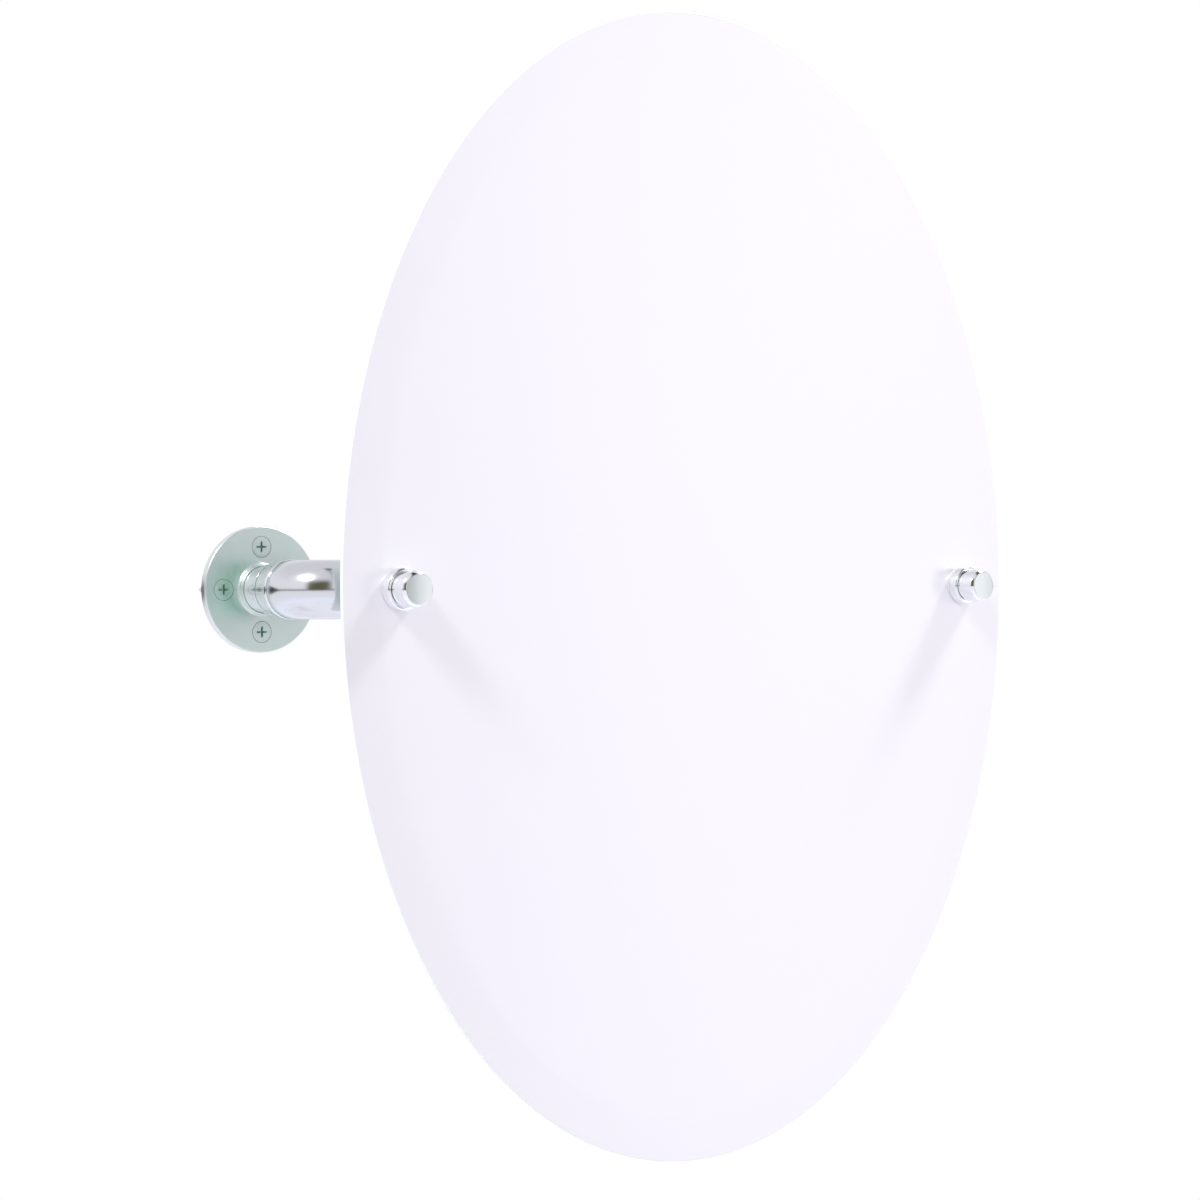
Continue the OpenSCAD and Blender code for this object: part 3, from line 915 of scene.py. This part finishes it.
dress_pair(make_elbow(), "pipe_elbow", CAST_CHROME, "wall_mounts", "chromed_metal", "elbow")

# %% [markdown]
# ## Pivot
# Behind the glass, a plug closes the elbow's outlet, and a swivel hub turns on the bolt that
# runs through it. The hub is two turned barrels that cross, joined into one.

# %% Pivot pieces
PLUG_END = -7.7
PLUG_CAP_R = 15.5
PLUG_CAP_T = 3
PLUG_PROFILE = [
    (NECK_R, PLUG_END, 0.4), (NECK_R, 0, 0), (PLUG_CAP_R, 0, 0.4), (PLUG_CAP_R, PLUG_CAP_T, 0.5),
    (BOLT_HOLE_R, PLUG_CAP_T, 0.1), (BOLT_HOLE_R, PLUG_END, 0.1)]
BARREL_PROFILE = [(12.5, 54.85, 0.9), (12.5, 87.3, 0.4)]
BOSS_PROFILE = [(9.5, 4.6, 0.4), (9.5, 34.85, 0.5)]
BORE_PROFILE = [(BOLT_HOLE_R, 4, 0), (BOLT_HOLE_R, 36, 0)]


def make_swivel():
    """Barrel behind the knob, crossed by the boss that turns on the bolt."""
    barrel = turned_piece("left_hub_swivel", out_of_wall(LEFT * KNOB_X), BARREL_PROFILE)
    boss = turned_piece("boss_blank", along_pivot(LEFT), BOSS_PROFILE)
    bore = turned_piece("bore_cutter", along_pivot(LEFT), BORE_PROFILE, 48)
    cut_or_join(barrel, boss, "UNION")
    cut_or_join(barrel, bore)
    close_up(barrel, 30)
    return barrel


plug = turned_piece("left_outlet_plug", along_pivot(LEFT), PLUG_PROFILE, closed_ring=True)
dress_pair(plug, "outlet_plug", BRIGHT_CHROME, "wall_mounts", "chromed_metal", "pivot_plug")
dress_pair(make_swivel(), "hub_swivel", BRIGHT_CHROME, "mirror", "chromed_metal", "swivel_hub")

# %% [markdown]
# ## Knobs
# A knob is a wide collar, rounded at its front edge, and a narrower cap on a short seat, with a
# chamfer round its turned face. Both come off the lathe here as they do in the workshop. The
# stud's hole stays out of the cap, because it can't be seen, and the washer under the collar
# stays the CAD's own ring.

# %% Knobs
COLLAR_R = 12.8
COLLAR_BACK = 94.7
COLLAR_FRONT = 101.5
COLLAR_PROFILE = [
    (COLLAR_R, COLLAR_BACK, 0.7), (COLLAR_R, COLLAR_FRONT, 1.2),
    (BOLT_HOLE_R, COLLAR_FRONT, 0.1), (BOLT_HOLE_R, COLLAR_BACK, 0.1)]
CAP_SEAT_R = 9.7
CAP_BACK = 102.4
CAP_R = 10.8
CAP_PROFILE = [
    (CAP_SEAT_R, COLLAR_FRONT, 0), (CAP_SEAT_R, CAP_BACK, 0), (CAP_R, CAP_BACK, 0.35),
    (CAP_R, 113.8, 0.4), (9.2, 115.4, 0.5)]

collar = turned_piece(
    "left_wide_collar", out_of_wall(LEFT * KNOB_X), COLLAR_PROFILE, 128, closed_ring=True)
dress_pair(collar, "wide_collar", KNOB_CHROME, "mirror", "knob_metal", "knob_collar")
cap = turned_piece("left_round_cap", out_of_wall(LEFT * KNOB_X), CAP_PROFILE, 128)
cap.data.materials.append(KNOB_CHROME)
second_finish(cap, KNOB_FACE, lambda face: face.normal.y < -0.99)
dress_pair(cap, "round_cap", KNOB_CHROME, "mirror", "knob_metal", "knob_cap")

# %% [markdown]
# ## CAD nodes that stay
# Bolts, nuts, washers, studs and bushes are already the right shape, and they are small and
# mostly hidden, so they keep their CAD solids and only get the material of the real thing.

# %% Materials of the CAD nodes
KEPT_NODES = {
    "mirror_backing": BACK_PAINT,
    "pivot_bolt": ZINC_STEEL, "pivot_nut": ZINC_STEEL, "cone_washer": ZINC_STEEL,
    "knob_stud": ZINC_STEEL, "friction_washer": NYLON, "back_washer": NYLON,
    "front_washer": NYLON, "glass_bush": NYLON,
}
for name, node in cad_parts.items():
    finish = KEPT_NODES.get(name.split("_", 1)[1]) or KEPT_NODES.get(name)
    if finish:
        node.data.materials.clear()
        node.data.materials.append(finish)
print("kept CAD nodes:", len([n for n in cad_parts.values() if not n.hide_render]))

# %% [markdown]
# ## Floor
# The mirror hangs 1.5 m above a plain pale floor. The floor is a disc that fades out towards its
# edge, so that no line shows where it ends, and it keeps the object's shadow. It is a shade
# darker than white, so that it doesn't burn out behind the mirror in a view from above.

# %% Floor
FLOOR_DROP = 1.5
FLOOR_R = 2.0
FADE_START = 0.35
FADE_END = 0.98


def make_floor():
    """Pale disc that fades to nothing at its edge."""
    clear_selection()
    bpy.ops.mesh.primitive_circle_add(
        vertices=96, radius=FLOOR_R, fill_type="NGON", location=(0, 0, -FLOOR_DROP))
    floor = bpy.context.object
    floor.name = "floor"
    apply_place(floor)
    material, tree, place = new_material("plain pale floor")
    flat = add_node(tree, "ShaderNodeVectorMath", {0: place, 1: (1, 1, 0)}, operation="MULTIPLY")
    reach = add_node(tree, "ShaderNodeVectorMath", {0: flat.outputs[0]}, operation="LENGTH")
    fade = add_node(tree, "ShaderNodeMapRange", {
        "Value": reach.outputs["Value"], "From Min": FLOOR_R * FADE_START,
        "From Max": FLOOR_R * FADE_END}, interpolation_type="SMOOTHSTEP")
    matt = add_node(tree, "ShaderNodeBsdfPrincipled", {
        "Base Color": linear("#d8d7dc"), "Roughness": 0.8})
    clear = add_node(tree, "ShaderNodeBsdfTransparent")
    mix = add_node(tree, "ShaderNodeMixShader", {
        0: fade.outputs["Result"], 1: matt.outputs[0], 2: clear.outputs[0]})
    floor.data.materials.append(finish_material(material, tree, mix))


make_floor()

# %% [markdown]
# ## Light
# Two soft lamps stand far out to the sides and high up, less than a metre in front of the wall.
# They rake over the glass and throw the knobs' long soft shadows, as in the photograph. They stay
# weak, and the world gives most of the light, so that the pale glass doesn't burn out.

# %% Lamps
# Each lamp has a name, its place and its aim in metres, the side of its square, and its watts.
LAMPS = [
    ("raking_right", (2.7, -0.9, 3.75), (0.0, -0.1, 0.0), 0.92, 250.0),
    ("raking_left", (-2.35, -0.76, 2.25), (0.0, -0.1, -0.1), 0.65, 75.0),
]


def add_lamp(name, place, aim, size, power):
    """Square soft lamp that looks at a point."""
    data = bpy.data.lights.new(name, "AREA")
    data.shape = "SQUARE"
    data.size = size
    data.energy = power
    lamp = bpy.data.objects.new(name, data)
    bpy.context.scene.collection.objects.link(lamp)
    turn = (Vector(aim) - Vector(place)).to_track_quat("-Z", "Y").to_matrix().to_4x4()
    lamp.matrix_world = Matrix.Translation(place) @ turn


for lamp in LAMPS:
    add_lamp(*lamp)
print("lamps:", [lamp[0] for lamp in LAMPS])

# %% [markdown]
# ## Studio
# The camera sees plain white, metal sees a room, and everything else is lit evenly. What the
# world shows depends on the direction, which three values describe: HEIGHT, from -1 straight
# down to 1 straight up; BACK, how far it points to the wall; and BEARING, in radians from
# straight out of the wall, positive to the right. Everything that follows is built from smooth
# curves over these three, which can be set one by one against the photograph.

# %% Directions and curves
STUDIO = bpy.data.worlds.new("studio")
bpy.context.scene.world = STUDIO
STUDIO.use_nodes = True
SKY = STUDIO.node_tree
SKY.nodes.clear()


def product(*values):
    """Multiplies values, two at a time."""
    total = values[0]
    for value in values[1:]:
        total = add_node(
            SKY, "ShaderNodeMath", {0: total, 1: value}, operation="MULTIPLY").outputs[0]
    return total


def curve(value, level, *changes):
    """Smooth curve over a value. It begins at a level, and each change is (start, end, by)."""
    total = None
    for start, end, by in changes:
        part = add_node(SKY, "ShaderNodeMapRange", {
            "Value": value, "From Min": start, "From Max": end,
            "To Min": level, "To Max": level + by},
            interpolation_type="SMOOTHSTEP").outputs["Result"]
        total = part if total is None else add_node(
            SKY, "ShaderNodeMath", {0: total, 1: part}, operation="ADD").outputs[0]
        level = 0.0
    return total


RAY = add_node(SKY, "ShaderNodeLightPath").outputs
direction = add_node(SKY, "ShaderNodeTexCoord").outputs["Generated"]
split = add_node(SKY, "ShaderNodeSeparateXYZ", {"Vector": direction}).outputs
HEIGHT = split["Z"]
BACK = split["Y"]
BEARING = add_node(SKY, "ShaderNodeMath", {
    0: split["X"], 1: product(BACK, -1.0)}, operation="ARCTAN2").outputs[0]
print("the directions use", len(SKY.nodes), "nodes")

# %% [markdown]
# ## The room that metal sees
# Chrome looks like chrome through what it reflects. The room is a pale lavender, a little bluer
# below. A dark panel left of the camera gives the dark patches on elbow and knobs. Only first
# reflections show the panel, because the knobs would smear it over the glass beside them.
#
# The world's colours are amounts of light and may pass 1, so they aren't written as hex values.

# %% Room colours
ROOM = (1.0, 0.99, 1.02, 1)
LOW_ROOM = (1.04, 1.05, 1.16, 1)
LOW_ENDS = (-0.65, -0.22, -1.0)
PANEL = (0.12, 0.115, 0.06, 1)
PANEL_ACROSS = ((-1.2, -0.95, 1.0), (-0.4, -0.15, -1.0))
PANEL_UP = ((-0.03, 0.02, 1.0), (0.4, 0.75, -1.0))
FIRST_SEEN = (1.0, 2.0, -1.0)


def room_colour():
    """Colour of the room by direction, with the dark panel."""
    low = curve(HEIGHT, 1.0, LOW_ENDS)
    room = add_node(SKY, "ShaderNodeMix", {
        "Factor": low, "A": ROOM, "B": LOW_ROOM}, data_type="RGBA")
    panel = product(
        curve(BEARING, 0.0, *PANEL_ACROSS), curve(HEIGHT, 0.0, *PANEL_UP),
        curve(RAY["Glossy Depth"], 1.0, FIRST_SEEN))
    return add_node(SKY, "ShaderNodeMix", {
        "Factor": panel, "A": room.outputs["Result"], "B": PANEL},
        data_type="RGBA").outputs["Result"]


PANELLED_ROOM = room_colour()
print("with the room's colours there are", len(SKY.nodes), "nodes")

# %% [markdown]
# ## Dark line at the horizon
# A studio sets something dark beside chrome to draw its form. Here it is a thin line along the
# horizon, wider behind the wall, which gives the pipes their dark streaks. It leaves out the
# bearings that the flat glass shows, where it would be a bar across the mirror.

# %% Dark line
OPENING = (0.03, 0.04, 0.035, 1)
HORIZON = -0.02
HALF_LINE = 0.035
WIDER_BEHIND = (0.5, 0.85, 0.095)
LINE_EDGE = (-0.02, 0.02, -1.0)
GLASS_BEGINS = (0.15, 0.3, -1.0)
GLASS_ENDS = (0.98, 1.04, 1.0)


def with_dark_line(room):
    """The room's colour with the dark line at its horizon, but not where the glass shows it."""
    above = add_node(SKY, "ShaderNodeMath", {0: HEIGHT, 1: HORIZON}, operation="SUBTRACT")
    away = add_node(SKY, "ShaderNodeMath", {0: above.outputs[0]}, operation="ABSOLUTE")
    past_line = add_node(SKY, "ShaderNodeMath", {
        0: away.outputs[0], 1: curve(BACK, HALF_LINE, WIDER_BEHIND)}, operation="SUBTRACT")
    dark_line = product(
        curve(past_line.outputs[0], 1.0, LINE_EDGE),
        curve(BEARING, 1.0, GLASS_BEGINS, GLASS_ENDS))
    return add_node(SKY, "ShaderNodeMix", {
        "Factor": dark_line, "A": room, "B": OPENING}, data_type="RGBA").outputs["Result"]


SEEN_BY_METAL = with_dark_line(PANELLED_ROOM)
print("with the dark line there are", len(SKY.nodes), "nodes")

# %% [markdown]
# ## How bright the room is
# The flat glass returns a narrow fan of bearings at the height of the pivot. There the room is
# darker on the left and brighter on the right, which shades the glass as in the photograph. High
# up in front the room is darker, so that the glass doesn't burn out when it tilts up to the lamps.

# %% Room brightness
ROOM_LEVEL = 0.92
ACROSS_THE_GLASS = ((0.15, 0.35, -0.56), (0.48, 0.6, 1.01), (0.74, 0.92, -0.52))
GLASS_LEVEL = (0.26, 0.4, -1.0)
LOWEST_SHARE = 1.08
GOING_UP = ((-0.7, -0.35, -0.08), (0.3, 0.8, -0.15))
IN_FRONT = ((-0.35, 0.35, 1.0), (0.95, 1.25, -1.0))
DARKER_HIGH_UP = ((0.25, 0.4, -0.55), (0.42, 0.62, -0.22))


def room_brightness():
    """Strength of the room by direction."""
    off_level = add_node(SKY, "ShaderNodeMath", {0: HEIGHT}, operation="ABSOLUTE")
    on_glass = product(
        curve(BEARING, 0.0, *ACROSS_THE_GLASS), curve(off_level.outputs[0], 1.0, GLASS_LEVEL))
    around = add_node(SKY, "ShaderNodeMath", {0: on_glass, 1: ROOM_LEVEL}, operation="ADD")
    whole = product(around.outputs[0], curve(HEIGHT, LOWEST_SHARE, *GOING_UP))
    high_front = product(curve(BEARING, 0.0, *IN_FRONT), curve(HEIGHT, 0.0, *DARKER_HIGH_UP))
    return add_node(SKY, "ShaderNodeMath", {
        0: whole, 1: high_front}, operation="ADD").outputs[0]


METAL_LIGHT = add_node(SKY, "ShaderNodeBackground", {
    "Color": SEEN_BY_METAL, "Strength": room_brightness()})
print("with the room's brightness there are", len(SKY.nodes), "nodes")

# %% [markdown]
# ## Even light
# Matt surfaces get an even, faintly lavender light. It is stronger from behind, where it lights
# the glass's back for the flange to reflect, and weaker from above, where the lamps are.

# %% Even light
FRONT_LIGHT = 0.8
STRONGER_BEHIND = (-0.1, 0.3, 0.45)
WEAKER_ABOVE = (0.3, 0.8, -0.6)
SOFT_COLOUR = (0.985, 0.975, 1.0, 1)

soft_strength = product(
    curve(BACK, FRONT_LIGHT, STRONGER_BEHIND), curve(HEIGHT, 1.0, WEAKER_ABOVE))
soft = add_node(SKY, "ShaderNodeBackground", {"Color": SOFT_COLOUR, "Strength": soft_strength})
print("with the even light there are", len(SKY.nodes), "nodes")

# %% [markdown]
# ## Which ray sees what
# The kind of ray decides between the three. Glass and metal send glossy and transmission rays,
# which see the room. The camera's own rays see plain white at a strength of 1.

# %% World
WHITE = (1, 1, 1, 1)

shiny = add_node(SKY, "ShaderNodeMath", {
    0: RAY["Is Glossy Ray"], 1: RAY["Is Transmission Ray"]}, operation="MAXIMUM")
bounced = add_node(SKY, "ShaderNodeMixShader", {
    0: shiny.outputs[0], 1: soft.outputs[0], 2: METAL_LIGHT.outputs[0]})
white = add_node(SKY, "ShaderNodeBackground", {"Color": WHITE, "Strength": 1.0})
view = add_node(SKY, "ShaderNodeMixShader", {
    0: RAY["Is Camera Ray"], 1: bounced.outputs[0], 2: white.outputs[0]})
add_node(SKY, "ShaderNodeOutputWorld", {"Surface": view.outputs[0]})
bpy.context.scene.view_settings.view_transform = "Standard"
print("the whole world has", len(SKY.nodes), "nodes")
